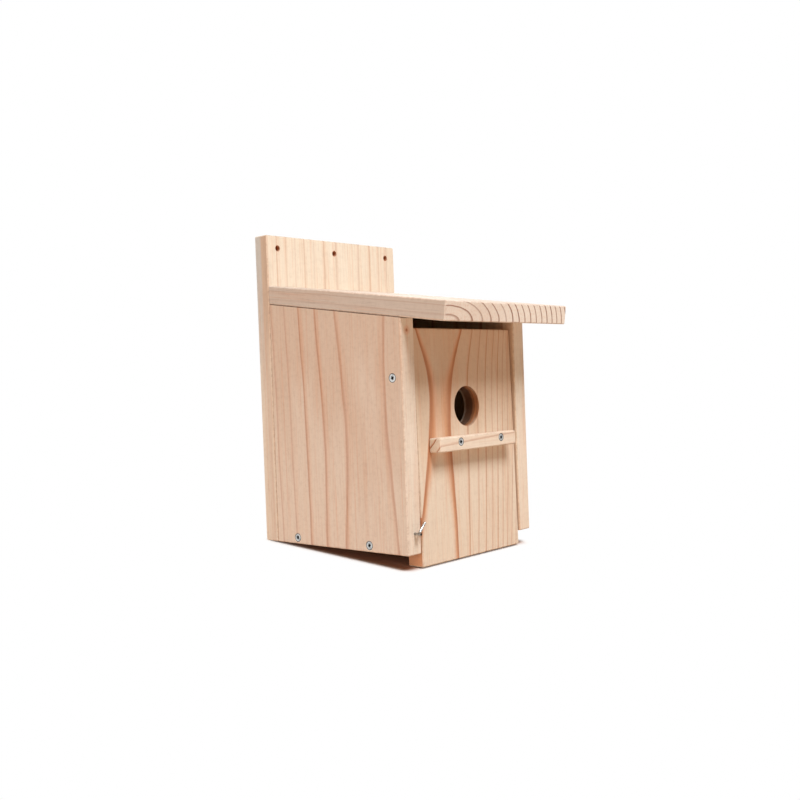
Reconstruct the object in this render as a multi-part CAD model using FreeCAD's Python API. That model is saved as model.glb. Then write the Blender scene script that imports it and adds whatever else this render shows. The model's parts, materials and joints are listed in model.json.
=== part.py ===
import FreeCAD, Part
import math
import os

# A wooden nest box: six sawn boards, a front that swings on two pivot screws and carries a perch bar,
# and a turn hook that keeps the front shut.
# Millimetres. X runs to the right seen from the front, Y from the front to the wall, Z up.
# The origin is on the wall face of the back board, on the axis of the middle hanging hole.

# Boards
board = 15.0  # thickness of all the boards
width = 158.0  # over the outer faces of the sides, which the back board and roof match
back_height = 256.0
side_depth = 145.0  # from the back board to the front edges of the sides
side_front_height = 178.0
roof_slope_deg = 8.0
roof_overhang = 42.0  # past the front edges of the sides, along its underside
floor_corner_cut = 10.0  # drainage at each corner of the floor
eased_edge = 0.8

# Hanging holes along the top of the back board
hanging_hole_d = 5.0
hanging_hole_spacing = 67.0
hanging_hole_inset = 10.5  # from the top of the back board

# Front door, hung between the sides: an air gap over it, its lower end hanging below them
door_side_gap = 1.5
door_vent_gap = 8.3
door_drop = 11.0
door_lean_deg = 0.95  # its foot stands out against the floor's front edge
door_stop_gap = 0.3
entrance_d = 32.0
entrance_height = 108.5  # over the foot of the sides

# Pivot of the door
pivot_height = 133.0  # over the foot of the sides
pivot_setback = 10.0  # behind the front edges of the sides
pivot_clearance = 0.06

# Perch bar on the door
perch_length = 98.0
perch_height = 11.0
perch_depth = 11.5
perch_below_entrance = 28.3
perch_screw_spacing = 52.5
perch_screw_shift = 2.5  # the pair sits to the right of the middle
perch_screw_rise = 1.2

# Countersunk wood screws
screw_head_d = 7.0
screw_shank_d = 3.5
pivot_screw_bite = 23.5  # how far a screw goes into the second piece
board_screw_bite = 20.0
perch_screw_head_d = 6.4
perch_screw_shank_d = 3.0
perch_screw_cover = 4.0  # wood left behind the ends of the perch screws
screw_sink = 0.2  # heads lie this far below the face
screw_clearance = 0.04

# Places of the screws
floor_screw_rise = 5.0
floor_screw_inset = 24.3  # from the back and front ends of the floor
roof_screw_inset = 32.0  # from the back and front edges of the sides

# Turn hook in the front edge of the left side
hook_wire_d = 2.0
hook_height = 16.0
hook_reach = 9.0  # from the edge of the side to the middle of the arm
hook_arm = 11.5
hook_bend_r = 2.5
hook_tail = 14.0
hook_rest_deg = 45.0  # turned up, clear of the door
hook_tip_round = 0.6

# Levels and planes that the pieces share
V = FreeCAD.Vector
half_width = width / 2
inner_half = half_width - board
edge_middle = half_width - board / 2
foot_z = hanging_hole_inset - back_height
back_front_y = -board
side_front_y = back_front_y - side_depth
roof_slope = math.radians(roof_slope_deg)
door_lean = math.radians(door_lean_deg)
pivot_y = side_front_y + pivot_setback
pivot_z = foot_z + pivot_height
pivot = V(0, pivot_y, pivot_z)
pivot_screw_length = board + door_side_gap + pivot_screw_bite
board_screw_length = board + board_screw_bite
perch_screw_length = perch_depth + board - perch_screw_cover
door_front_y = pivot_y - board / 2
door_bottom_z = foot_z - door_drop
entrance_z = foot_z + entrance_height
perch_z = entrance_z - perch_below_entrance
floor_top_z = foot_z + board
floor_front_y = (
    pivot_y
    + board / 2 / math.cos(door_lean)
    - (pivot_z - floor_top_z) * math.tan(door_lean)
    + door_stop_gap
)


def roof_under_z(y):
    """Height of the roof's underside, which is also the sawn top of the sides."""
    return foot_z + side_front_height + (y - side_front_y) * math.tan(roof_slope)


def eased(solid):
    """Take the sharpness off every arris of a sawn board."""
    return solid.makeChamfer(eased_edge, solid.Edges)


def plank(outline, run):
    """Extrude a closed outline of points along a run, and ease its edges."""
    face = Part.Face(Part.makePolygon(outline + outline[:1]))
    return eased(face.extrude(run))


def block(low, high):
    """A square sawn board between two corners, with eased edges."""
    size = high - low
    return eased(Part.makeBox(size.x, size.y, size.z, low))


def closed(shape):
    """Lean a shape built on the upright door to where the closed door rests."""
    leaning = shape.copy()
    leaning.rotate(pivot, V(-1, 0, 0), door_lean_deg)
    return leaning


def screw_body(head_d, shank_d, length, grow=0.0, above=0.0):
    """Turned form of a screw: head at the origin, end down. Grown, it cuts the screw's own hole."""
    head_r = head_d / 2 + grow
    shank_r = shank_d / 2 + grow
    outline = [
        V(0, 0, above),
        V(head_r + above, 0, above),
        V(shank_r, 0, shank_r - head_r),
        V(shank_r, 0, -length - grow),
        V(0, 0, -length - grow),
    ]
    face = Part.Face(Part.makePolygon(outline + outline[:1]))
    return face.revolve(V(0, 0, 0), V(0, 0, 1), 360)


def driven(shape, point, direction):
    """Set a screw, or its hole, into a face at a point, driven along a direction."""
    placed = shape.copy()
    turn = FreeCAD.Rotation(V(0, 0, -1), direction)
    placed.Placement = FreeCAD.Placement(point + direction * screw_sink, turn)
    return placed


class Screws:
    """One group of alike screws: where each is driven, its solids and the holes it needs."""

    def __init__(self, head_d, shank_d, length, places):
        self.sizes = (head_d, shank_d, length)
        self.places = places

    def solids(self):
        """The screws of the group, each in its place."""
        screw = screw_body(*self.sizes)
        return Part.makeCompound([driven(screw, point, way) for point, way in self.places])

    def holes(self, clearance=screw_clearance):
        """Cutters for the group's holes, a little wider than the screws and open at the face."""
        hole = screw_body(*self.sizes, grow=clearance, above=screw_sink + eased_edge)
        return [driven(hole, point, way) for point, way in self.places]


def pivot_screw(side):
    """Screw that hangs the door on one side, on the pivot axis."""
    place = (V(side * half_width, pivot_y, pivot_z), V(-side, 0, 0))
    return Screws(screw_head_d, screw_shank_d, pivot_screw_length, [place])


def floor_screws(side):
    """Two screws through one side into the edge of the floor."""
    rows = (back_front_y - floor_screw_inset, floor_front_y + floor_screw_inset)
    places = [(V(side * half_width, y, foot_z + floor_screw_rise), V(-side, 0, 0)) for y in rows]
    return Screws(screw_head_d, screw_shank_d, board_screw_length, places)


def roof_screws(side):
    """Two screws square through the roof into the sloping top of one side."""
    down = V(0, math.sin(roof_slope), -math.cos(roof_slope))
    rows = (back_front_y - roof_screw_inset, side_front_y + roof_screw_inset)
    seats = [V(side * edge_middle, y, roof_under_z(y)) for y in rows]
    places = [(seat - down * board, down) for seat in seats]
    return Screws(screw_head_d, screw_shank_d, board_screw_length, places)


def perch_screws():
    """Two screws through the perch bar into the upright door."""
    front_y = door_front_y - perch_depth
    columns = (perch_screw_shift - perch_screw_spacing / 2, perch_screw_shift + perch_screw_spacing / 2)
    places = [(V(x, front_y, perch_z + perch_screw_rise), V(0, 1, 0)) for x in columns]
    return Screws(perch_screw_head_d, perch_screw_shank_d, perch_screw_length, places)


def back_board():
    """Board against the wall, with the row of hanging holes above the roof."""
    solid = block(V(-half_width, back_front_y, foot_z), V(half_width, 0, hanging_hole_inset))
    for step in (-1, 0, 1):
        start = V(step * hanging_hole_spacing, 0, 0)
        solid = solid.cut(Part.makeCylinder(hanging_hole_d / 2, board, start, V(0, -1, 0)))
    return solid


def hook_hole():
    """Bore for the hook's tail in the front edge of the left side."""
    mouth = V(-edge_middle, side_front_y, foot_z + hook_height)
    bore_r = hook_wire_d / 2 + screw_clearance
    return Part.makeCylinder(bore_r, hook_tail + screw_clearance, mouth, V(0, 1, 0))


def side_board(side):
    """Side with its top sawn to the roof slope: -1 is the left one, which also holds the hook."""
    start_x = min(side * half_width, side * inner_half)
    outline = [
        V(start_x, back_front_y, foot_z),
        V(start_x, side_front_y, foot_z),
        V(start_x, side_front_y, roof_under_z(side_front_y)),
        V(start_x, back_front_y, roof_under_z(back_front_y)),
    ]
    groups = (pivot_screw, floor_screws, roof_screws)
    holes = [hole for group in groups for hole in group(side).holes()]
    if side < 0:
        holes.append(hook_hole())
    return plank(outline, V(board, 0, 0)).cut(holes)


def floor_board():
    """Floor between the sides, its corners cut off to let water out."""
    cut = floor_corner_cut
    corners = [
        V(-inner_half + cut, floor_front_y, foot_z),
        V(inner_half - cut, floor_front_y, foot_z),
        V(inner_half, floor_front_y + cut, foot_z),
        V(inner_half, back_front_y - cut, foot_z),
        V(inner_half - cut, back_front_y, foot_z),
        V(-inner_half + cut, back_front_y, foot_z),
        V(-inner_half, back_front_y - cut, foot_z),
        V(-inner_half, floor_front_y + cut, foot_z),
    ]
    return plank(corners, V(0, 0, board)).cut(floor_screws(-1).holes() + floor_screws(1).holes())


def roof_board():
    """Sloping roof: plumb where it meets the back board, sawn square at the front."""
    front_y = side_front_y - roof_overhang
    under_back = V(-half_width, back_front_y, roof_under_z(back_front_y))
    under_front = V(-half_width, front_y, roof_under_z(front_y))
    top_front = under_front + V(0, -math.sin(roof_slope), math.cos(roof_slope)) * board
    top_back = under_back + V(0, 0, board / math.cos(roof_slope))
    solid = plank([under_back, under_front, top_front, top_back], V(width, 0, 0))
    return solid.cut(roof_screws(-1).holes() + roof_screws(1).holes())


def front_door():
    """Front that swings on the pivot screws, with the entrance hole."""
    half = inner_half - door_side_gap
    top_z = roof_under_z(door_front_y) - door_vent_gap
    solid = block(V(-half, door_front_y, door_bottom_z), V(half, door_front_y + board, top_z))
    entrance = Part.makeCylinder(entrance_d / 2, board, V(0, door_front_y, entrance_z), V(0, 1, 0))
    bores = pivot_screw(-1).holes(pivot_clearance) + pivot_screw(1).holes(pivot_clearance)
    return closed(solid.cut([entrance] + bores + perch_screws().holes()))


def perch_bar():
    """Bar screwed across the door under the entrance hole."""
    low = V(-perch_length / 2, door_front_y - perch_depth, perch_z - perch_height / 2)
    high = V(perch_length / 2, door_front_y, perch_z + perch_height / 2)
    return closed(block(low, high).cut(perch_screws().holes()))


def turn_hook():
    """Wire bent square: its tail sits in the left side, its arm turns over the edge of the door."""
    turn = math.radians(hook_rest_deg)
    out = V(0, -1, 0)
    along = V(math.cos(turn), 0, math.sin(turn))
    tail = V(-edge_middle, side_front_y + hook_tail, foot_z + hook_height)
    corner = V(tail.x, side_front_y - hook_reach, tail.z)
    bend_in = corner - out * hook_bend_r
    bend_out = corner + along * hook_bend_r
    centre = bend_in + along * hook_bend_r
    middle = centre + (corner - centre).normalize() * hook_bend_r
    tip = corner + along * hook_arm
    path = Part.Wire(
        [
            Part.LineSegment(tail, bend_in).toShape(),
            Part.Arc(bend_in, middle, bend_out).toShape(),
            Part.LineSegment(bend_out, tip).toShape(),
        ]
    )
    section = Part.Wire(Part.makeCircle(hook_wire_d / 2, tail, out))
    wire = path.makePipeShell([section], True, False)
    tip_edges = [edge for edge in wire.Edges if edge.BoundBox.Center.distanceToPoint(tip) < hook_tip_round]
    return wire.makeFillet(hook_tip_round, tip_edges)


def main():
    nodes = {
        "back_board": back_board(),
        "left_side": side_board(-1),
        "right_side": side_board(1),
        "floor_board": floor_board(),
        "roof_board": roof_board(),
        "front_door": front_door(),
        "perch_bar": perch_bar(),
        "turn_hook": turn_hook(),
        "left_pivot_screw": pivot_screw(-1).solids(),
        "right_pivot_screw": pivot_screw(1).solids(),
        "left_floor_screws": floor_screws(-1).solids(),
        "right_floor_screws": floor_screws(1).solids(),
        "left_roof_screws": roof_screws(-1).solids(),
        "right_roof_screws": roof_screws(1).solids(),
        "perch_screws": closed(perch_screws().solids()),
    }
    os.makedirs("parts", exist_ok=True)
    for name, shape in nodes.items():
        state = "valid" if shape.isValid() else "NOT VALID"
        print(name, state, len(shape.Solids), "solids", round(shape.Volume, 1), "mm3")
        shape.exportStep(f"parts/{name}.step")


main()
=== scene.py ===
import json
import logging
import math
from dataclasses import dataclass, field
from enum import Enum
from typing import Callable, Optional, Union

import bpy
from mathutils import Matrix, Vector


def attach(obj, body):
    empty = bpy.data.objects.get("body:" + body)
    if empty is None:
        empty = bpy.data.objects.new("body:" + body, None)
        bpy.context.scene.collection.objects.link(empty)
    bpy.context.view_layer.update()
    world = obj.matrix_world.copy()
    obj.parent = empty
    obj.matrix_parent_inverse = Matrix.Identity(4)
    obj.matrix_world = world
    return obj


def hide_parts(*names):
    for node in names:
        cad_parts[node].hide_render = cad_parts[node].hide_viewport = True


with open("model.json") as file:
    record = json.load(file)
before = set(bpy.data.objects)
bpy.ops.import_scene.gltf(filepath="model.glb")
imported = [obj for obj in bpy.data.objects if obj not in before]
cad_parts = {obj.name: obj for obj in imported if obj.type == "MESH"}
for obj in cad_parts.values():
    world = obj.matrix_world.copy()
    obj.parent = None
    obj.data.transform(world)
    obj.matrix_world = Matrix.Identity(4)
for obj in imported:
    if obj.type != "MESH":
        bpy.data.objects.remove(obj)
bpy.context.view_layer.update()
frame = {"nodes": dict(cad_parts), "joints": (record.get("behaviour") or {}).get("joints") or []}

log = logging.getLogger("nest_box")
MM = 0.001
# A face is square to an axis where its normal's part along the axis is larger than this.
SQUARE_ON = 0.9
# Edges sharper than this angle stay sharp, and corners closer than this length merge.
SHARP_DEG = 35.0
WELD = 0.002 * MM
Colour = tuple[float, float, float]
Point = tuple[float, float, float]
Span = tuple[float, float]
Face = bpy.types.MeshPolygon
Material = bpy.types.Material
Piece = bpy.types.Object
Socket = bpy.types.NodeSocket
Wire = Union[Socket, float]
Paint = Union[Socket, Colour]


class Body(Enum):
    """The rigid bodies that pieces ride on."""

    BOX = "box"
    DOOR = "door"
    HOOK = "hook"


class Slot(Enum):
    """The record's material slots that the new pieces take."""

    WIRE = "hook_wire"
    SCREW = "screw_steel"


class Grain(Enum):
    """How a board was cut: the frame's axes across its face, through it and along its fibres."""

    UPRIGHT_SIDE = (1, 0, 2)
    UPRIGHT_FRONT = (0, 1, 2)
    FRONT_TO_BACK = (0, 2, 1)
    CROSSWISE = (2, 1, 0)

    def __init__(self, across: int, through: int, along: int) -> None:
        """Name the three axes."""
        self.across, self.through, self.along = across, through, along


class Streak(Enum):
    """Noise in the wood: cells per millimetre across and along the fibres, octaves, roughness."""

    DRIFT = (0.016, 0.007, 1.0, 0.5)
    RIPPLE = (0.12, 0.022, 2.0, 0.5)
    BLOTCH = (0.03, 0.008, 2.0, 0.5)
    FIBRE = (0.45, 0.01, 4.0, 0.62)
    HAIR = (2.4, 0.045, 3.0, 0.6)
    SAW = (0.22, 0.3, 4.0, 0.7)
    PORE = (2.6, 2.6, 1.0, 0.5)


def linear(red: int, green: int, blue: int) -> Colour:
    """Turn a colour as a paint chart gives it into the light that Blender works in.

    Args:
        red, green, blue: the colour's parts, from 0 to 255.

    Returns:
        The colour as linear light, from 0 to 1.
    """
    parts = [part / 255 for part in (red, green, blue)]
    return tuple(p / 12.92 if p <= 0.04045 else ((p + 0.055) / 1.055) ** 2.4 for p in parts)


def reach(corners: list[Vector], axis: int) -> Span:
    """Find how far some corners reach along an axis, from low to high."""
    places = [corner[axis] for corner in corners]
    return min(places), max(places)


class Graph:
    """Short words for wiring the shader nodes of one material, or of the world."""

    def __init__(self, name: str, world: bool = False) -> None:
        """Start a material or a world with its output and nothing else.

        Args:
            name: its name.
            world: make a world.
        """
        self.owner = bpy.data.worlds.new(name) if world else bpy.data.materials.new(name)
        self.owner.use_nodes = True
        self.tree = self.owner.node_tree
        self.tree.nodes.clear()
        self.output = self.node("ShaderNodeOutputWorld" if world else "ShaderNodeOutputMaterial")

    def node(self, kind: str, *values: Union[Wire, Point], **settings: object) -> bpy.types.Node:
        """Add a node.

        Args:
            kind: Blender's name of the node type.
            values: what its inputs are fed, in their order.
            settings: properties to set on it.

        Returns:
            The new node.
        """
        made = self.tree.nodes.new(kind)
        for key, value in settings.items():
            setattr(made, key, value)
        for socket, value in zip(made.inputs, values):
            self.feed(socket, value)
        return made

    def feed(self, socket: Socket, value: Union[Wire, Point]) -> None:
        """Link a wire to a socket, or set the socket's own value.

        Args:
            socket: the input to feed.
            value: another node's output, a number, a vector or a colour.
        """
        if isinstance(value, Socket):
            self.tree.links.new(value, socket)
        elif isinstance(value, tuple) and socket.type == "RGBA":
            socket.default_value = (*value, 1.0)
        else:
            socket.default_value = value

    def math(self, operation: str, a: Wire, b: Wire = 0.0) -> Socket:
        """Work out one number from two, by Blender's name of the operation."""
        return self.node("ShaderNodeMath", a, b, operation=operation).outputs[0]

    def plus(self, a: Wire, b: Wire) -> Socket:
        """Add two numbers."""
        return self.math("ADD", a, b)

    def minus(self, a: Wire, b: Wire) -> Socket:
        """Take the second number from the first."""
        return self.math("SUBTRACT", a, b)

    def times(self, a: Wire, b: Wire) -> Socket:
        """Multiply two numbers."""
        return self.math("MULTIPLY", a, b)

    def most(self, a: Wire, b: Wire) -> Socket:
        """Take the larger of two numbers."""
        return self.math("MAXIMUM", a, b)

    def vector(
        self, operation: str, a: Socket, b: Union[Socket, Point] = (0.0,) * 3, out: str = "Vector"
    ) -> Socket:
        """Work out one vector from two, or one number where out is Value."""
        return self.node("ShaderNodeVectorMath", a, b, operation=operation).outputs[out]

    def scaled(self, a: Socket, factor: float) -> Socket:
        """Scale a vector alike along all its axes."""
        return self.vector("MULTIPLY", a, (factor,) * 3)

    def parts(self, a: Socket) -> tuple[Socket, ...]:
        """Take a vector apart into the wires of its three numbers."""
        return tuple(self.node("ShaderNodeSeparateXYZ", a).outputs)

    def level(
        self, value: Wire, low: float, high: float, to_low: float = 0.0, to_high: float = 1.0
    ) -> Socket:
        """Carry the range from low to high smoothly to another range."""
        ends = (value, low, high, to_low, to_high)
        return self.node("ShaderNodeMapRange", *ends, interpolation_type="SMOOTHSTEP").outputs[0]

    def noise(
        self, place: Socket, detail: float = 2.0, rough: float = 0.5, out: str = "Fac"
    ) -> Socket:
        """Add noise, of so many octaves, over a place that is already stretched to its scale."""
        return self.node("ShaderNodeTexNoise", place, 0.0, 1.0, detail, rough).outputs[out]

    def ramp(self, value: Wire, *stops: Span) -> Socket:
        """Shape a number by a few stops.

        Args:
            value: the wire to shape, from 0 to 1.
            stops: places and the grey level at each.

        Returns:
            The shaped wire.
        """
        made = self.node("ShaderNodeValToRGB", value)
        made.color_ramp.interpolation = "EASE"
        knots = made.color_ramp.elements
        while len(knots) < len(stops):
            knots.new(0.5)
        for knot, (place, grey) in zip(knots, stops):
            knot.position = place
            knot.color = (grey, grey, grey, 1.0)
        return made.outputs[0]

    def mix(self, share: Wire, a: Paint, b: Paint, blend: str = "MIX") -> Socket:
        """Mix two colours.

        Args:
            share: how much of the second shows.
            a, b: wires or colours.
            blend: Blender's name of the way they blend.

        Returns:
            The mixed colour's wire.
        """
        made = self.node("ShaderNodeMix", data_type="RGBA", blend_type=blend)
        for number, part in ((0, share), (6, a), (7, b)):
            self.feed(made.inputs[number], part)
        return made.outputs[2]

    def either(self, share: Wire, a: Socket, b: Socket) -> Socket:
        """Mix two surfaces, where share is how much of the second shows."""
        return self.node("ShaderNodeMixShader", share, a, b).outputs[0]

    def surface(
        self, colour: Wire, roughness: Wire, height: Wire, relief: float, **constants: float
    ) -> Material:
        """Finish the material with a surface shader that has bump.

        Args:
            colour, roughness, height: the wires of the pattern.
            relief: depth of the bump, in millimetres.
            constants: values for the shader's own sockets, by name with _ for a space.

        Returns:
            The material.
        """
        bump = self.node("ShaderNodeBump", 1.0)
        self.feed(bump.inputs["Distance"], relief * MM)
        self.feed(bump.inputs["Height"], height)
        shader = self.node("ShaderNodeBsdfPrincipled", colour)
        for name, value in constants.items():
            self.feed(shader.inputs[name.replace("_", " ")], value)
        self.feed(shader.inputs["Roughness"], roughness)
        self.feed(shader.inputs["Normal"], bump.outputs[0])
        self.feed(self.output.inputs["Surface"], shader.outputs[0])
        return self.owner


@dataclass(frozen=True)
class Softwood:
    """Planed, untreated softwood: growth rings round a pith near the board, cut by its faces.

    The pith's point and the ring sizes are in millimetres. Lean, sway and bow bend the pith along
    the fibres, flare bends it further past its point, and flatten presses the rings together
    through the board. The turn from pale to tan along the fibres is painted shade, darker towards
    the tops of the upright boards. Heart is the number of rings over which end grain turns to the
    colour of the sapwood, a paleness of the end faces only that is partly painted light. Edge is
    the colour of the narrow faces, where it differs, with its own tone at the back and low down.
    The seam shadow is a point and the way in from a board that lies on this one, where a painted
    shadow line darkens the joint.
    """

    node: str
    grain: Grain
    pith: Point
    first_ring: float
    ring_power: float = 1.3
    ring_shift: float = 0.0
    flatten: float = 1.0
    lean: float = 0.0
    sway: float = 0.0
    bow: float = 0.0
    flare: float = 0.0
    # painted shade: how fast the wood turns from pale to tan along the fibres, darker towards the
    # top
    painted_top_shade: float = 0.0
    heart: float = 0.0
    tilt_deg: float = 0.0
    wander: float = 3.0
    line_weight: float = 0.6
    band_weight: float = 0.5
    end_weight: float = 0.9
    band_start: float = 0.68
    line_start: float = 0.8
    ring_seed: float = 0.0
    speckle: float = 0.4
    pale: Colour = linear(238, 225, 204)
    tan: Colour = linear(228, 207, 185)
    # sapwood colour of end grain, shown on end faces only, partly painted light that pales them
    sapwood_and_light: Colour = linear(246, 235, 222)
    warm: Colour = linear(220, 154, 106)
    dark: Colour = linear(164, 98, 62)
    grey: Colour = linear(190, 172, 156)
    # a bored wall's tone, partly drilled end grain and partly painted light and shade, then the
    # painted shade of bores and seams
    wall_grain_and_light: Colour = linear(190, 124, 78)
    painted_shade: Colour = linear(70, 40, 25)
    edge: Optional[Colour] = None
    edge_back: Optional[Colour] = None
    edge_back_from: Span = (-8.5, -6.5)
    edge_low: Optional[Colour] = None
    edge_low_from: Span = (100.0, -30.0)
    # where a painted shadow line darkens the joint under a board that lies on this one
    seam_shadow: Optional[tuple[Point, Point]] = None
    pin_knot: Optional[Point] = None
    bores: tuple[Point, ...] = ()
    bore_r: float = 0.0

    def streaks(self, graph: Graph, place: Socket, kind: Streak, out: str = "Fac") -> Socket:
        """Add noise that runs with the fibres.

        Args:
            graph: the material's graph.
            place: the board's place, in millimetres.
            kind: the noise's measures.
            out: the result's name, Fac or Color.

        Returns:
            The noise's wire.
        """
        across, along, detail, rough = kind.value
        scale = [across] * 3
        scale[self.grain.along] = along
        return graph.noise(graph.vector("MULTIPLY", place, tuple(scale)), detail, rough, out)

    def turned(self, graph: Graph, source: Socket, middle: Point, scale: float) -> Socket:
        """Carry a place or a normal into the board's own axes.

        Args:
            graph: the material's graph.
            source: the place or the normal.
            middle: the point to measure from, in millimetres.
            scale: the length of the new unit, in metres.

        Returns:
            The place or the normal, as the board lies.
        """
        zero = tuple(part * MM for part in middle)
        tilt = (math.radians(self.tilt_deg), 0.0, 0.0)
        made = graph.node("ShaderNodeMapping", source, zero, tilt, (scale,) * 3)
        made.vector_type = "TEXTURE"
        return made.outputs[0]

    def ring_count(self, graph: Graph, place: Socket) -> Socket:
        """Count growth rings out from the pith.

        Args:
            graph: the material's graph.
            place: the board's place from the pith, in millimetres.

        Returns:
            The number of rings, whole at the end of each year.
        """
        bent = place
        for kind, share in ((Streak.DRIFT, 2.0), (Streak.RIPPLE, 0.55)):
            push = graph.vector("SUBTRACT", self.streaks(graph, place, kind, "Color"), (0.5,) * 3)
            bent = graph.vector("ADD", bent, graph.scaled(push, self.wander * share))
        places = graph.parts(bent)
        across, through, along = (places[axis] for axis in self.grain.value)
        squared = graph.times(along, along)
        across = graph.minus(across, graph.times(along, self.lean))
        across = graph.minus(across, graph.times(squared, self.sway))
        past = graph.math("POWER", graph.most(along, 0.0), 4.0)
        sag = graph.plus(graph.times(squared, self.bow), graph.times(past, self.flare))
        through = graph.times(graph.minus(through, sag), self.flatten)
        radius = graph.plus(graph.times(across, across), graph.times(through, through))
        radius = graph.math("DIVIDE", graph.math("SQRT", radius), self.first_ring)
        return graph.plus(graph.math("POWER", radius, self.ring_power), self.ring_shift)

    def rings(self, graph: Graph, count: Socket) -> tuple[Socket, Socket]:
        """Shade each year by its own chance: a thin line at its end and a broad band before it.

        Args:
            graph: the material's graph.
            count: the number of rings.

        Returns:
            The wires of the line and of the band.
        """
        year = graph.math("FRACT", count)
        chance = graph.node("ShaderNodeTexWhiteNoise", noise_dimensions="1D")
        graph.feed(chance.inputs["W"], graph.plus(graph.math("FLOOR", count), self.ring_seed))
        strength = graph.level(chance.outputs["Value"], 0.0, 1.0, 0.45, 1.0)
        rise = (self.line_start, 0.0)
        line = graph.ramp(year, (0.0, 0.5), (0.025, 0.0), rise, (0.965, 1.0), (1.0, 0.75))
        band = graph.ramp(year, (0.0, 0.3), (0.05, 0.0), (self.band_start, 0.0), (0.95, 1.0))
        strong = graph.math("POWER", strength, 2.0)
        return graph.times(line, strength), graph.times(band, strong)

    def edge_tone(self, graph: Graph, spot: Socket, along: Socket) -> Paint:
        """Choose the colour of the narrow faces.

        Args:
            graph: the material's graph.
            spot: the object's own place, in millimetres.
            along: the place along the fibres, in millimetres.

        Returns:
            The colour or its wire.
        """
        tone = self.edge
        if self.edge_back:
            depth = graph.parts(spot)[self.grain.through]
            tone = graph.mix(graph.level(depth, *self.edge_back_from), tone, self.edge_back)
        if self.edge_low:
            tone = graph.mix(graph.level(along, *self.edge_low_from), tone, self.edge_low)
        return tone

    def material(self) -> Material:
        """Build the board's material.

        Returns:
            The material, whose pattern is fixed in the board's own frame.
        """
        graph = Graph(f"{self.node}_wood")
        source = graph.node("ShaderNodeTexCoord").outputs
        spot = graph.scaled(source["Object"], 1 / MM)
        place = self.turned(graph, source["Object"], self.pith, MM)
        normal = self.turned(graph, source["Normal"], (0.0, 0.0, 0.0), 1.0)
        faces = graph.parts(graph.vector("ABSOLUTE", normal))
        end = graph.level(faces[self.grain.along], 0.6, 0.95)
        arris = graph.level(graph.most(graph.most(faces[0], faces[1]), faces[2]), 0.995, 0.9)
        count = self.ring_count(graph, place)
        line, band = self.rings(graph, count)
        kinds = (Streak.BLOTCH, Streak.FIBRE, Streak.HAIR, Streak.SAW, Streak.PORE)
        blotch, fibre, hair, saw, pore = (self.streaks(graph, place, kind) for kind in kinds)

        # The plain wood, turned tan towards the top by painted shade, with end grain paled partly
        # by painted light.
        along = graph.parts(place)[self.grain.along]
        tone = graph.plus(blotch, graph.times(along, self.painted_top_shade))
        colour = graph.mix(graph.level(tone, 0.3, 0.7), self.pale, self.tan)
        # Outer rings of end grain take the sapwood colour, partly painted light that pales the end
        # faces.
        if self.heart:
            outer = graph.times(graph.level(count, 0.0, self.heart), end)
            colour = graph.mix(outer, colour, self.sapwood_and_light)
        if self.edge:
            narrow = graph.level(faces[self.grain.across], 0.6, 0.95)
            colour = graph.mix(narrow, colour, self.edge_tone(graph, spot, along))

        # Its growth rings.
        colour = graph.mix(graph.level(fibre, 0.45, 0.8, 0.0, 0.35), colour, self.warm)
        weight = graph.level(end, 0.0, 1.0, self.band_weight, self.end_weight * 0.85)
        weight = graph.times(weight, graph.level(fibre, 0.3, 0.6, 0.78, 1.0))
        colour = graph.mix(graph.times(band, weight), colour, self.warm)
        weight = graph.level(end, 0.0, 1.0, self.line_weight, self.end_weight)
        colour = graph.mix(graph.times(line, weight), colour, self.dark)

        # Dark hairs, saw marks, the pores of end grain and rubbed edges.
        hairs = graph.level(hair, 0.5, 0.78, 0.0, 0.3)
        marks = graph.level(saw, 0.42, 0.75, 0.0, 0.3 * self.speckle)
        pores = graph.times(graph.level(pore, 0.45, 0.75, 0.0, 0.14), end)
        scuff = graph.times(arris, graph.level(saw, 0.35, 0.65, 0.0, 0.3))
        for share, tint in zip((hairs, marks, pores, scuff), (self.dark, self.grey) * 2):
            colour = graph.mix(share, colour, tint, "MULTIPLY")

        # A painted shadow line along the seam under the board above.
        if self.seam_shadow:
            colour = self.painted_seam_shadow(graph, spot, colour, saw)
        if self.pin_knot:
            colour = self.knotted(graph, spot, colour)
        for bore in self.bores:
            colour = self.bored(graph, spot, colour, bore, saw)

        height = graph.plus(graph.times(line, 0.5), graph.times(fibre, 0.6))
        height = graph.plus(height, graph.times(hair, 0.35))
        height = graph.plus(height, graph.times(saw, 0.5 * self.speckle))
        matt = graph.minus(fibre, graph.times(line, 0.2))
        roughness = graph.level(matt, 0.2, 0.8, 0.52, 0.78)
        return graph.surface(colour, roughness, height, relief=0.12, Specular_IOR_Level=0.3)

    def painted_seam_shadow(self, graph: Graph, spot: Socket, colour: Socket, saw: Socket) -> Socket:
        """Paint a shadow along the hairline where the board meets the one that lies on it.

        Args:
            graph: the material's graph.
            spot: the object's own place, in millimetres.
            colour: the wood's colour so far.
            saw: noise that breaks up the line.

        Returns:
            The colour with the painted shadow line.
        """
        point, inward = self.seam_shadow
        away = graph.vector("SUBTRACT", spot, point)
        below = graph.vector("DOT_PRODUCT", away, inward, "Value")
        below = graph.plus(below, graph.times(saw, 1.2))
        return graph.mix(graph.level(below, 1.5, 0.9, 0.0, 0.85), colour, self.painted_shade)

    def knotted(self, graph: Graph, spot: Socket, colour: Socket) -> Socket:
        """Set one pin knot into the wood.

        Args:
            graph: the material's graph.
            spot: the object's own place, in millimetres.
            colour: the wood's colour so far.

        Returns:
            The colour with the knot.
        """
        near = graph.vector("DISTANCE", spot, self.pin_knot, "Value")
        colour = graph.mix(graph.level(near, 5.0, 1.5, 0.0, 0.45), colour, self.warm)
        return graph.mix(graph.level(near, 1.7, 0.6, 0.0, 0.85), colour, self.dark)

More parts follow.
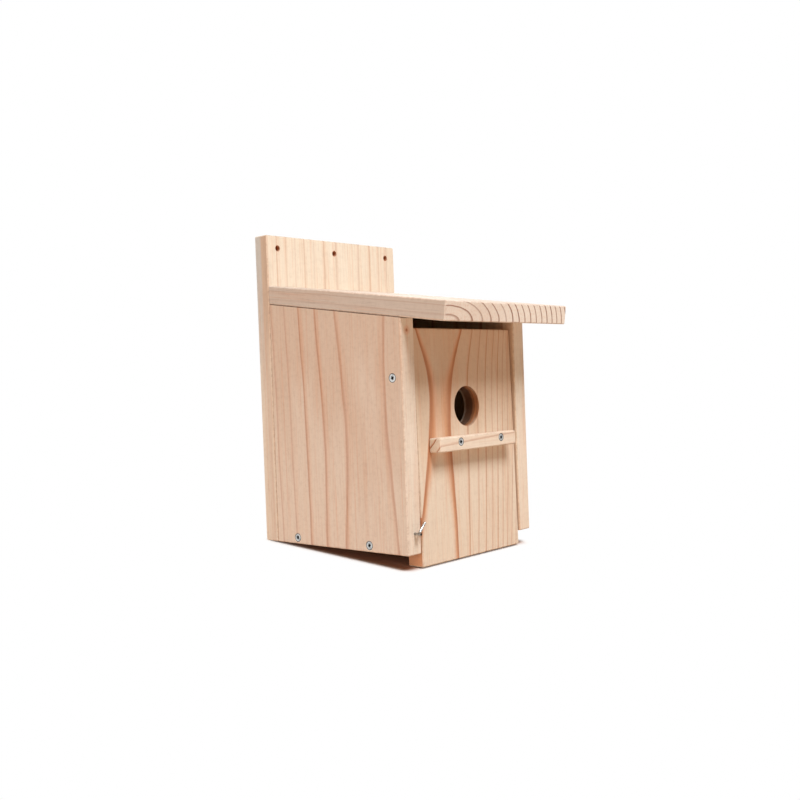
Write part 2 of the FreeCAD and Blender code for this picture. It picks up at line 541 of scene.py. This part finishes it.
    def bored(self, graph: Graph, spot: Socket, colour: Socket, bore: Point, saw: Socket) -> Socket:
        """Paint light and shade on the wall of a hole that was bored through the board.

        Args:
            graph: the material's graph.
            spot: the object's own place, in millimetres.
            colour: the wood's colour so far.
            bore: a point on the hole's axis, in millimetres.
            saw: noise that breaks up the hole's rim.

        Returns:
            The colour with the painted wall.
        """
        through = self.grain.through
        flat = tuple(float(axis != through) for axis in range(3))
        away = graph.vector("MULTIPLY", graph.vector("SUBTRACT", spot, bore), flat)
        rim = graph.vector("LENGTH", away, out="Value")
        rim = graph.plus(rim, graph.times(saw, -0.5))
        wall = graph.level(rim, self.bore_r + 0.1, self.bore_r - 0.15)
        deep = graph.minus(graph.parts(spot)[through], bore[through])
        deep = graph.plus(deep, graph.times(saw, 2.0))
        # Painted shade darkens the middle depth of the wall and its grooves.
        shaded_wall = graph.mix(graph.level(deep, -3.0, 0.5, 0.0, 0.95), self.wall_grain_and_light, self.painted_shade)
        groove = graph.math("SINE", graph.times(deep, 2.1))
        shaded_wall = graph.mix(graph.level(groove, 0.0, 0.9, 0.0, 0.45), shaded_wall, self.painted_shade)
        # A painted highlight lights the rim at the back of the hole.
        lit_back_rim = graph.mix(graph.level(deep, 5.6, 7.4, 0.0, 0.75), shaded_wall, self.grey)
        cover = graph.level(deep, -6.0, -3.5, 0.35, 0.88)
        return graph.mix(graph.times(wall, cover), colour, lit_back_rim)


@dataclass(frozen=True)
class Plating:
    """Bright metal with fine draw marks and a few dull patches."""

    name: str
    bright: Colour
    dull: Colour
    polish: float
    marks: float = 3.0

    def material(self) -> Material:
        """Build the metal's material.

        Returns:
            The material.
        """
        graph = Graph(self.name)
        place = graph.scaled(graph.node("ShaderNodeTexCoord").outputs["Object"], 1 / MM)
        patch = graph.noise(graph.scaled(place, 0.35), detail=3.0)
        fine = graph.noise(graph.scaled(place, self.marks), detail=4.0, rough=0.7)
        colour = graph.mix(graph.level(patch, 0.4, 0.7), self.bright, self.dull)
        worn = graph.level(fine, 0.5, 0.8, 0.0, 0.35)
        colour = graph.mix(worn, colour, self.dull, "MULTIPLY")
        matt = graph.plus(patch, fine)
        roughness = graph.level(matt, 0.7, 1.3, self.polish, self.polish + 0.2)
        return graph.surface(colour, roughness, fine, relief=0.02, Metallic=1.0)


@dataclass(frozen=True)
class RecessShade:
    """Painted shade, dull dark metal, for the bottom of a driver recess and the rim of a screw
    head.
    """

    name: str
    tone: Colour = linear(20, 19, 18)
    worn: Colour = linear(48, 46, 45)

    def material(self) -> Material:
        """Build the painted-shade material of the recess and the head's rim.

        Returns:
            The material.
        """
        graph = Graph(self.name)
        place = graph.scaled(graph.node("ShaderNodeTexCoord").outputs["Object"], 1.6 / MM)
        speck = graph.noise(place, detail=3.0)
        colour = graph.mix(graph.level(speck, 0.45, 0.75, 0.0, 0.6), self.tone, self.worn)
        roughness = graph.level(speck, 0.3, 0.7, 0.5, 0.7)
        return graph.surface(colour, roughness, speck, relief=0.03, Metallic=0.0)


class Bench:
    """The few moves of hand modelling that the small metal pieces share."""

    @staticmethod
    def clear() -> None:
        """Leave edit mode and deselect everything."""
        if bpy.context.object and bpy.context.object.mode != "OBJECT":
            bpy.ops.object.mode_set(mode="OBJECT")
        bpy.ops.object.select_all(action="DESELECT")

    @staticmethod
    def pick(thing: Piece, *others: Piece) -> None:
        """Select objects and make the first one active.

        Args:
            thing: the object to work on.
            others: more objects to select with it.
        """
        Bench.clear()
        for each in (thing, *others):
            each.select_set(True)
        bpy.context.view_layer.objects.active = thing

    @staticmethod
    def faces_where(thing: Piece, test: Callable[[Face], bool]) -> None:
        """Enter edit mode with only the faces selected that pass a test.

        Args:
            thing: the object to edit.
            test: says which faces to take.
        """
        Bench.pick(thing)
        bpy.ops.object.mode_set(mode="EDIT")
        bpy.ops.mesh.select_mode(type="FACE")
        bpy.ops.mesh.select_all(action="DESELECT")
        bpy.ops.object.mode_set(mode="OBJECT")
        for face in thing.data.polygons:
            face.select = test(face)
        bpy.ops.object.mode_set(mode="EDIT")

    @staticmethod
    def draw_out(move: Point, scale: float = 1.0) -> None:
        """Extrude what is selected, and draw the new end in or out about its middle.

        Args:
            move: how far the end goes.
            scale: its new width as a share of the old one.
        """
        bpy.ops.mesh.extrude_region_move(TRANSFORM_OT_translate={"value": move})
        bpy.ops.transform.resize(value=(scale,) * 3)

    @staticmethod
    def apply(thing: Piece, kind: str, **settings: object) -> None:
        """Add a modifier and apply it.

        Args:
            thing: the object to change.
            kind: Blender's name of the modifier type.
            settings: properties to set on it.
        """
        Bench.pick(thing)
        modifier = thing.modifiers.new(kind.title(), kind)
        for key, value in settings.items():
            setattr(modifier, key, value)
        bpy.ops.object.modifier_apply(modifier=modifier.name)

    @staticmethod
    def true_up(thing: Piece) -> None:
        """Merge doubles, point the faces outwards and shade what is round as round.

        Args:
            thing: the object to finish.
        """
        Bench.faces_where(thing, lambda face: True)
        bpy.ops.mesh.remove_doubles(threshold=WELD)
        bpy.ops.mesh.normals_make_consistent(inside=False)
        Bench.pick(thing)
        bpy.ops.object.shade_smooth_by_angle(angle=math.radians(SHARP_DEG))

    @staticmethod
    def thread(core: float, crest: float, pitch: float, top: float, turns: int) -> Piece:
        """Wind one thread down the Z axis as a closed ridge, its root sunk a little into the core.

        Args:
            core, crest: radii of the core and of the crest, in metres.
            pitch: rise of one turn, in metres.
            top: height at which it starts, in metres.
            turns: how many turns it has.

        Returns:
            The ridge.
        """
        root = core - 0.15 * (crest - core)
        foot = 0.36 * pitch
        profile = ((crest, 0.0), (root, foot), (root, -foot))
        Bench.clear()
        bpy.ops.mesh.primitive_circle_add(vertices=len(profile), radius=pitch)
        ridge = bpy.context.object
        for corner, (out, up) in zip(ridge.data.vertices, profile):
            corner.co = (out, 0.0, top + up)
        Bench.apply(
            ridge,
            "SCREW",
            axis="Z",
            angle=math.tau,
            screw_offset=-pitch,
            iterations=turns,
            steps=20,
            render_steps=20,
        )
        bpy.ops.object.mode_set(mode="EDIT")
        bpy.ops.mesh.select_all(action="SELECT")
        bpy.ops.mesh.region_to_loop()
        bpy.ops.mesh.edge_face_add()
        Bench.true_up(ridge)
        return ridge

    @staticmethod
    def joined(name: str, pieces: list[Piece]) -> Piece:
        """Join pieces into one object at the origin.

        Args:
            name: the object's name.
            pieces: what to join.

        Returns:
            The joined object.
        """
        Bench.pick(*pieces)
        if len(pieces) > 1:
            bpy.ops.object.join()
        whole = bpy.context.object
        bpy.ops.object.transform_apply(location=True, rotation=True, scale=True)
        whole.name = name
        whole.data.name = name
        return whole


@dataclass
class WoodScrew:
    """Countersunk wood screw, its head on the origin and its point down. Sizes in millimetres."""

    head_d: float = 7.0
    shank_d: float = 3.5
    length: float = 35.0
    rim: float = 0.06
    point: float = 5.0
    point_share: float = 0.16
    plain_shank: float = 2.7
    step: float = 0.3
    core_share: float = 0.33
    recess: float = 4.2
    recess_arm: float = 1.9
    recess_depth: float = 2.0
    recess_taper: float = 0.45
    # width of the ring of painted shade at the head's rim, standing for the countersink's shadow
    shadow_rim: float = 0.45
    pitch: float = 1.6
    facets: int = 40

    def build(self, finish: Material, recess_shade: Material) -> Piece:
        """Model the screw.

        Args:
            finish: the plated metal.
            recess_shade: painted shade for the bottom of the recess and the rim of the head.

        Returns:
            The screw, as a pattern to copy.
        """
        core = self.shank_d * self.core_share * MM
        crest = self.shank_d / 2 * MM
        pitch = self.pitch * MM
        cone = (self.head_d - self.shank_d) / 2 * MM
        low = -(self.length - self.point) * MM
        neck = -self.rim * MM - cone - (self.step + self.plain_shank) * MM
        Bench.clear()
        bpy.ops.mesh.primitive_cylinder_add(
            vertices=self.facets, radius=core, depth=neck - low, location=(0, 0, (neck + low) / 2)
        )
        body = bpy.context.object
        bpy.ops.object.transform_apply(location=True)
        Bench.faces_where(body, lambda face: face.normal.z < -SQUARE_ON)
        Bench.draw_out((0, 0, -self.point * MM), self.point_share)
        Bench.faces_where(body, lambda face: face.normal.z > SQUARE_ON)
        Bench.draw_out((0, 0, self.step * MM), crest / core)
        Bench.draw_out((0, 0, self.plain_shank * MM))
        Bench.draw_out((0, 0, cone), self.head_d / self.shank_d)
        Bench.draw_out((0, 0, self.rim * MM))
        # The ring at the head's rim will take painted shade.
        bpy.ops.mesh.inset(thickness=self.shadow_rim * MM)
        self.cut_recess(body)
        body.data.materials.append(finish)
        body.data.materials.append(recess_shade)
        # The recess and the rim of the head take painted shade.
        Bench.faces_where(body, self.is_shaded)
        body.active_material_index = 1
        bpy.ops.object.material_slot_assign()
        Bench.true_up(body)
        ridge = Bench.thread(core, crest, pitch, neck - pitch, int((neck - low) / pitch) - 1)
        ridge.data.materials.append(finish)
        return Bench.joined("screw_pattern", [body, ridge])

    def is_shaded(self, face: Face) -> bool:
        """Tell whether a face of the screw lies in the driver recess or on the rim of the head.

        Args:
            face: the face to judge.

        Returns:
            True for a face that takes painted shade.
        """
        out = math.hypot(face.center.x, face.center.y) / MM
        deep = -face.center.z / MM
        on_rim = deep < self.rim and out > self.head_d / 2 - self.shadow_rim
        in_depth = self.recess_depth * 0.2 < deep < self.recess_depth * 1.2
        return on_rim or (out < self.recess / 2 and in_depth)

    def cut_recess(self, body: Piece) -> None:
        """Cut the cross that the driver fits.

        Args:
            body: the screw to cut.
        """
        Bench.clear()
        arm = self.recess_arm * MM
        stretch = (self.recess - self.recess_arm) / 2 * MM
        depth = self.recess_depth * MM
        bpy.ops.mesh.primitive_cube_add(size=arm, location=(0, 0, 0))
        cutter = bpy.context.object
        Bench.faces_where(cutter, lambda face: True)
        bpy.ops.transform.resize(value=(1, 1, depth * 2 / arm))
        bpy.ops.transform.translate(value=(0, 0, depth * 0.1))
        for way in ((1, 0, 0), (-1, 0, 0), (0, 1, 0), (0, -1, 0)):
            tip = Vector(way) * arm / 2
            Bench.faces_where(
                cutter,
                lambda face: face.normal.dot(way) > SQUARE_ON
                and (face.center - tip).xy.length < arm / 9,
            )
            Bench.draw_out(tuple(part * stretch for part in way))
        Bench.faces_where(cutter, lambda face: face.normal.z < -SQUARE_ON)
        bpy.ops.transform.resize(value=(self.recess_taper, self.recess_taper, 1))
        Bench.true_up(cutter)
        Bench.apply(body, "BOOLEAN", object=cutter, operation="DIFFERENCE", solver="EXACT")
        bpy.data.objects.remove(cutter)


@dataclass
class ScrewSet:
    """Screws of one place: which kind they are, which way they are driven and what they ride on.

    They stand for the CAD node of the same name. Where the frame has none, seats gives the heads
    in millimetres.
    """

    node: str
    kind: WoodScrew
    way: Vector
    body: Body = Body.BOX
    turn_deg: float = 20.0
    turn_step: float = 2.3
    seats: tuple[Point, ...] = ()

    def heads(self) -> list[Vector]:
        """Find the middle of each head, from the CAD node's own corners where there is one.

        Returns:
            The heads' middles, in metres.
        """
        if self.seats:
            return [Vector(seat) * MM for seat in self.seats]
        corners = [corner.co.copy() for corner in frame["nodes"][self.node].data.vertices]
        top = min(corner.dot(self.way) for corner in corners)
        rims = [corner for corner in corners if corner.dot(self.way) < top + 0.01 * MM]
        spans = [high - low for low, high in (reach(rims, axis) for axis in range(3))]
        axis = spans.index(max(spans))
        groups = [rims]
        if spans[axis] >= self.kind.head_d * 1.5 * MM:
            halfway = sum(reach(rims, axis)) / 2
            groups = [[c for c in rims if (c[axis] < halfway) == first] for first in (True, False)]
        return [Vector([sum(reach(group, i)) / 2 for i in range(3)]) for group in groups]

    def build(self, pattern: Piece) -> Piece:
        """Copy the pattern to each head and join the copies.

        Args:
            pattern: the modelled screw of this kind.

        Returns:
            The joined screws.
        """
        copies = []
        for number, head in enumerate(self.heads()):
            copy = pattern.copy()
            copy.data = pattern.data.copy()
            bpy.context.scene.collection.objects.link(copy)
            angle = math.radians(self.turn_deg * (1 + self.turn_step * number))
            spin = Matrix.Rotation(angle, 4, "Z")
            turn = self.way.to_track_quat("-Z", "Y").to_matrix().to_4x4()
            copy.matrix_world = Matrix.Translation(head) @ turn @ spin
            copies.append(copy)
        piece = Bench.joined(self.node + "_threaded", copies)
        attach(piece, self.body.value)
        if not self.seats:
            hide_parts(self.node)
        return piece


@dataclass
class Fixings:
    """All the screws of the box."""

    roof_slope_deg: float = 8.0
    door_lean_deg: float = 0.95
    pivot: WoodScrew = field(default_factory=lambda: WoodScrew(length=40.0))
    board: WoodScrew = field(default_factory=WoodScrew)
    perch: WoodScrew = field(default_factory=lambda: WoodScrew(6.4, 3.0, 22.5, pitch=1.35))
    level: WoodScrew = field(default_factory=lambda: WoodScrew(recess_depth=0.03))
    level_proud: float = 0.05
    back_reach: float = 71.5
    back_rows: Span = (-209.5, -87.5)
    zinc: Plating = Plating("zinc_plated_steel", linear(200, 199, 196), linear(138, 139, 140), 0.3)

    def sets(self) -> list[ScrewSet]:
        """List the screw sets. Those behind the back board lie level with its face.

        Returns:
            The sets.
        """
        slope = math.radians(self.roof_slope_deg)
        lean = math.radians(self.door_lean_deg)
        down = Vector((0, math.sin(slope), -math.cos(slope)))
        into_door = Vector((0, math.cos(lean), -math.sin(lean)))
        forward = Vector((0, -1, 0))
        made = [ScrewSet("perch_screws", self.perch, into_door, Body.DOOR, 12.0)]
        for name, side in (("left", -1), ("right", 1)):
            inward = Vector((-side, 0, 0))
            seats = tuple((side * self.back_reach, self.level_proud, row) for row in self.back_rows)
            made += [
                ScrewSet(f"{name}_pivot_screw", self.pivot, inward, turn_deg=33.0),
                ScrewSet(f"{name}_floor_screws", self.board, inward),
                ScrewSet(f"{name}_roof_screws", self.board, down, turn_deg=51.0),
                ScrewSet(f"{name}_back_screws", self.level, forward, turn_deg=7.0, seats=seats),
            ]
        return made

    def build(self) -> None:
        """Model each kind of screw once and set the copies."""
        zinc = self.zinc.material()
        # Painted shade for the screws' recesses and head rims.
        recess_shade = RecessShade("painted_recess_shade").material()
        patterns = {}
        for group in self.sets():
            key = id(group.kind)
            if key not in patterns:
                patterns[key] = group.kind.build(zinc, recess_shade)
            piece = group.build(patterns[key])
            log.info("screws %s: %d faces", piece.name, len(piece.data.polygons))
        for pattern in patterns.values():
            bpy.data.objects.remove(pattern)


@dataclass
class TurnHook:
    """Square-bent screw hook that holds the door shut. Sizes in millimetres."""

    wire_d: float = 2.0
    reach: float = 9.0
    arm: float = 11.5
    bend: float = 2.5
    round_off: tuple[Span, ...] = ((0.4, 0.86), (0.2, 0.6))
    tail: float = 14.0
    plain: float = 3.0
    step: float = 0.5
    root_share: float = 0.78
    point: float = 2.5
    point_share: float = 0.2
    pitch: float = 1.0
    rest_deg: float = 45.0
    facets: int = 24
    wire: Plating = Plating(
        "bright_drawn_wire", linear(178, 176, 173), linear(110, 108, 106), 0.22, 4.0
    )

    def bend_wire(self) -> Piece:
        """Draw the wire out along its turning axis, bend it square and point its tail.

        Returns:
            The bare hook, its shank up the Z axis.
        """
        plain = self.plain * MM
        shank = (self.reach - self.bend) * MM
        Bench.clear()
        bpy.ops.mesh.primitive_circle_add(
            vertices=self.facets,
            radius=self.wire_d / 2 * MM,
            fill_type="NGON",
            location=(0, 0, -plain),
        )
        hook = bpy.context.object
        bpy.ops.object.transform_apply(location=True)
        Bench.faces_where(hook, lambda face: True)
        Bench.draw_out((0, 0, plain + shank))
        bpy.ops.mesh.spin(
            steps=10, angle=math.radians(90), center=(self.bend * MM, 0, shank), axis=(0, 1, 0)
        )
        straight = self.arm - self.bend - sum(length for length, share in self.round_off)
        Bench.draw_out((straight * MM, 0, 0))
        for length, share in self.round_off:
            Bench.draw_out((length * MM, 0, 0), share)
        Bench.faces_where(hook, lambda face: face.normal.z < -SQUARE_ON and face.center.z < 0)
        Bench.draw_out((0, 0, -self.step * MM), self.root_share)
        Bench.draw_out((0, 0, -(self.tail - self.plain - self.step - self.point) * MM))
        Bench.draw_out((0, 0, -self.point * MM), self.point_share)
        Bench.true_up(hook)
        return hook

    def build(self) -> Piece:
        """Model the hook on its turning axis and set it in the left side.

        Returns:
            The hook.
        """
        radius = self.wire_d / 2 * MM
        pitch = self.pitch * MM
        bare = self.bend_wire()
        turns = int((self.tail - self.plain - self.point) / self.pitch) - 1
        top = -self.plain * MM - pitch
        ridge = Bench.thread(radius * self.root_share, radius, pitch, top, turns)
        hook = Bench.joined("turn_hook_threaded", [bare, ridge])
        joint = next(each for each in frame["joints"] if each["name"] == "hook_turn")
        rest = math.radians(self.rest_deg)
        out = Vector((0, -1, 0))
        along = Vector((math.cos(rest), 0, math.sin(rest)))
        turn = Matrix((along, out.cross(along), out)).transposed().to_4x4()
        hook.matrix_world = Matrix.Translation(joint["pos_m"]) @ turn
        hook = Bench.joined(hook.name, [hook])
        hook.data.materials.clear()
        hook.data.materials.append(self.wire.material())
        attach(hook, Body.HOOK.value)
        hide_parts("turn_hook")
        return hook


class Boards:
    """Boards of one sub-assembly, whose shapes are the CAD's own."""

    def finishes(self) -> list[Softwood]:
        """Choose how each board was cut from its log."""
        raise NotImplementedError

    def dress(self) -> None:
        """Give each board its wood in place of the CAD's plain finish."""
        for finish in self.finishes():
            mesh = frame["nodes"][finish.node].data
            mesh.materials.clear()
            mesh.materials.append(finish.material())
            log.info("wood %s: %s", finish.node, mesh.materials[0].name)


@dataclass
class Carcass(Boards):
    """The fixed boards: back, sides, floor and roof."""

    roof_slope_deg: float = 8.0
    side_top_front: Point = (0.0, -160.0, -67.5)
    hanging_holes: tuple[Point, ...] = ((-67.0, -7.5, 0.0), (0.0, -7.5, 0.0), (67.0, -7.5, 0.0))
    hanging_hole_r: float = 2.5

    def finishes(self) -> list[Softwood]:
        """Choose how each board was cut from its log.

        Returns:
            The finish of each board.
        """
        slope = math.radians(self.roof_slope_deg)
        # The painted shadow line where the roof lies on the sides.
        roof_seam_shadow = (self.side_top_front, (0.0, math.sin(slope), -math.cos(slope)))
        # Its turn from pale to tan towards the top is painted shade.
        left_side = Softwood(
            "left_side", Grain.UPRIGHT_SIDE, (-61.0, -120.6, -150.0),
            first_ring=29.0, ring_power=1.27, ring_seed=2755.0, lean=0.03, bow=-0.0012, painted_top_shade=0.0035,
            line_weight=0.46, line_start=0.87, band_weight=0.34, speckle=0.55,
            pale=linear(235, 217, 200), tan=linear(225, 201, 181), dark=linear(180, 114, 88),
            edge=linear(237, 223, 206), seam_shadow=roof_seam_shadow, pin_knot=(-72.2, -160.0, -77.2),
        )
        right_side = Softwood(
            "right_side", Grain.UPRIGHT_SIDE, (59.0, -98.0, -130.0),
            first_ring=29.0, ring_power=1.27, lean=-0.02, bow=0.0012,
            line_weight=0.45, line_start=0.86,
            pale=linear(236, 215, 190), tan=linear(226, 198, 169),
            edge=linear(241, 228, 210), seam_shadow=roof_seam_shadow,
        )
        back_board = Softwood(
            "back_board", Grain.UPRIGHT_FRONT, (16.0, 10.0, -120.0),
            first_ring=9.8, ring_power=1.0, ring_seed=40.0, wander=1.2,
            line_weight=0.24, band_weight=0.26,
            pale=linear(240, 228, 209), tan=linear(238, 223, 202),
            edge=linear(221, 198, 175), edge_back=linear(216, 212, 205),
            # The walls of its hanging holes take painted light and shade.
            edge_low=linear(240, 227, 210), wall_grain_and_light=linear(206, 122, 70), painted_shade=linear(150, 78, 44),
            bores=self.hanging_holes, bore_r=self.hanging_hole_r,
        )
        floor_board = Softwood(
            "floor_board", Grain.FRONT_TO_BACK, (20.0, -80.0, -275.0),
            first_ring=18.0, ring_power=1.2, bow=0.0008,
        )
        # Its end grain is paler than its top, partly by painted light.
        roof_board = Softwood(
            "roof_board", Grain.FRONT_TO_BACK, (-74.5, -202.0, -73.6),
            first_ring=21.5, ring_power=1.42, ring_shift=0.51, ring_seed=1488.0, flatten=2.4,
            heart=10.0, tilt_deg=self.roof_slope_deg, wander=1.6, line_weight=0.22, line_start=0.76,
            band_weight=0.3, band_start=0.8, end_weight=1.0,
            pale=linear(236, 222, 208), tan=linear(227, 209, 193), dark=linear(120, 68, 48),
            edge=linear(214, 198, 184),
        )
        return [left_side, right_side, back_board, floor_board, roof_board]


@dataclass
class Front(Boards):
    """The swinging door with its perch bar."""

    lean_deg: float = -0.95
    entrance: Point = (0.0, -150.0, -137.0)
    entrance_r: float = 16.0

    def finishes(self) -> list[Softwood]:
        """Choose how the door and the bar were cut from their logs.

        Returns:
            The finish of each.
        """
        # Its turn from pale to tan towards the top is painted shade.
        front_door = Softwood(
            "front_door", Grain.UPRIGHT_FRONT, (-33.4, -130.1, -146.0),
            first_ring=31.0, ring_power=1.88, ring_seed=1889.0, lean=0.07, sway=-0.0004,
            bow=-0.00094, flare=-5.4e-7, painted_top_shade=0.003, tilt_deg=self.lean_deg, wander=2.0,
            line_weight=0.7, line_start=0.84, band_weight=1.0, band_start=0.72,
            pale=linear(233, 217, 197), tan=linear(223, 198, 172), edge=linear(208, 152, 114),
            bores=(self.entrance,), bore_r=self.entrance_r,
        )
        perch_bar = Softwood(
            "perch_bar", Grain.CROSSWISE, (0.0, -122.0, -124.0),
            first_ring=11.0, ring_power=1.2, lean=0.05, wander=1.2,
            line_weight=0.4, band_weight=0.25,
            pale=linear(242, 231, 213), tan=linear(236, 219, 200),
        )
        return [front_door, perch_bar]


@dataclass(frozen=True)
class Lamp:
    """One soft square lamp: its place and the length of its sides in metres, its power in watts."""

    name: str
    place: Point
    size: float
    power: float
    tint: Colour

    def hang(self, aim: Point) -> None:
        """Hang the lamp so that it faces a point.

        Args:
            aim: the point, in metres.
        """
        light = bpy.data.lights.new(self.name, "AREA")
        light.color = self.tint
        light.energy = self.power
        light.size = self.size
        holder = bpy.data.objects.new(self.name, light)
        bpy.context.scene.collection.objects.link(holder)
        holder.location = self.place
        facing = Vector(aim) - Vector(self.place)
        holder.rotation_euler = facing.to_track_quat("-Z", "Y").to_euler()


@dataclass
class Studio:
    """White sweep, soft lamps and the camera. Lengths in metres."""

    ground: Point = (0.0, 0.0, -0.2455)
    ground_tilt_deg: float = 4.38
    ground_half: float = 6.0
    stand_middle: Point = (0.0, -0.08, -0.25)
    stand_half: Point = (0.07, 0.07, 1.0)
    shade_reach: float = 0.012
    white_from: Span = (0.004, 0.017)
    paper: Colour = (0.93, 0.93, 0.93)
    paper_tooth: Colour = (0.95, 0.95, 0.95)
    bounce: Colour = (0.7, 0.54, 0.42)
    shade: Colour = (0.36, 0.2, 0.14)
    ambient: float = 0.27
    ambient_tint: Colour = (1.0, 0.74, 0.56)
    key: Lamp = Lamp("key", (-0.26, -1.06, 1.17), 0.6, 26.5, (0.97, 1.0, 1.02))
    fill: Lamp = Lamp("fill", (-1.1, 0.05, -0.1), 0.35, 3.2, (0.98, 1.0, 1.01))
    rear: Lamp = Lamp("rear", (0.95, 1.25, 0.6), 1.2, 11.0, (1.0, 1.0, 1.0))
    aim: Point = (0.0, -0.1, -0.12)
    camera_place: Point = (-0.64181, -0.65771, -0.11259)
    camera_turn_deg: Point = (88.752, 2.128, -48.389)
    lens_mm: float = 45.714
    sensor_mm: float = 36.0

    @staticmethod
    def seen(graph: Graph) -> Socket:
        """Tell the rays that show the backdrop from those that light the box.

        Args:
            graph: the graph to add to.

        Returns:
            A wire that is 1 for rays from the camera, a gloss or a glass, and 0 for the rest.
        """
        rays = graph.node("ShaderNodeLightPath").outputs
        mirrored = graph.most(rays["Is Glossy Ray"], rays["Is Transmission Ray"])
        return graph.most(rays["Is Camera Ray"], mirrored)

    def floor_paper(self) -> Material:
        """Make paper that is shaded under the box, plain white away from it and clear from below.

        Returns:
            The material.
        """
        graph = Graph("floor_paper")
        source = graph.node("ShaderNodeTexCoord").outputs["Object"]
        away = graph.vector("ABSOLUTE", graph.vector("SUBTRACT", source, self.stand_middle))
        away = graph.vector("MAXIMUM", graph.vector("SUBTRACT", away, self.stand_half))
        gap = graph.vector("LENGTH", away, out="Value")
        shown = self.seen(graph)
        tone = graph.mix(graph.noise(graph.scaled(source, 900.0)), self.paper, self.paper_tooth)
        tone = graph.mix(graph.level(gap, self.shade_reach, 0.0), tone, self.shade)
        paper = graph.node("ShaderNodeBsdfDiffuse", graph.mix(shown, self.bounce, tone))
        white = graph.node("ShaderNodeEmission", (1.0, 1.0, 1.0), 1.0)
        clear = graph.node("ShaderNodeBsdfTransparent")
        far = graph.times(graph.level(gap, *self.white_from), shown)
        top = graph.either(far, paper.outputs[0], white.outputs[0])
        below = graph.node("ShaderNodeNewGeometry").outputs["Backfacing"]
        whole = graph.either(below, top, clear.outputs[0])
        graph.feed(graph.output.inputs["Surface"], whole)
        return graph.owner

    def lay_floor(self) -> None:
        """Lay the floor under the back board's foot and the door's foot."""
        Bench.clear()
        bpy.ops.mesh.primitive_plane_add(size=self.ground_half * 2)
        floor = bpy.context.object
        floor.name = "studio_floor"
        turn = Matrix.Rotation(math.radians(self.ground_tilt_deg), 4, "X")
        floor.matrix_world = Matrix.Translation(self.ground) @ turn
        bpy.ops.object.transform_apply(location=True, rotation=True, scale=True)
        floor.data.materials.append(self.floor_paper())

    def light(self) -> None:
        """Light the room: a warm surround, a key lamp in front, a low fill and a lamp behind."""
        graph = Graph("studio_white", world=True)
        shown = self.seen(graph)
        tint = graph.mix(shown, self.ambient_tint, (1.0, 1.0, 1.0))
        power = graph.level(shown, 0.0, 1.0, self.ambient, 1.0)
        back = graph.node("ShaderNodeBackground", tint, power)
        graph.feed(graph.output.inputs["Surface"], back.outputs[0])
        bpy.context.scene.world = graph.owner
        for lamp in (self.key, self.fill, self.rear):
            lamp.hang(self.aim)

    def shoot(self) -> None:
        """Set the camera where the photograph was taken from."""
        lens = bpy.data.cameras.new("camera")
        lens.lens = self.lens_mm
        lens.sensor_width = self.sensor_mm
        lens.clip_start = 0.01
        holder = bpy.data.objects.new("camera", lens)
        bpy.context.scene.collection.objects.link(holder)
        holder.location = self.camera_place
        holder.rotation_euler = [math.radians(part) for part in self.camera_turn_deg]
        bpy.context.scene.camera = holder

    def build(self) -> None:
        """Set up the floor, the light and the camera."""
        self.lay_floor()
        self.light()
        self.shoot()
        bpy.context.scene.view_settings.view_transform = "Standard"


def main() -> None:
    """Dress the boards, set the metal pieces and light the studio."""
    logging.basicConfig(level=logging.INFO, format="%(name)s: %(message)s")
    Carcass().dress()
    Front().dress()
    Fixings().build()
    hook = TurnHook().build()
    log.info("hook %s: %d faces", hook.name, len(hook.data.polygons))
    Studio().build()
    Bench.clear()


if __name__ == "__main__":
    main()
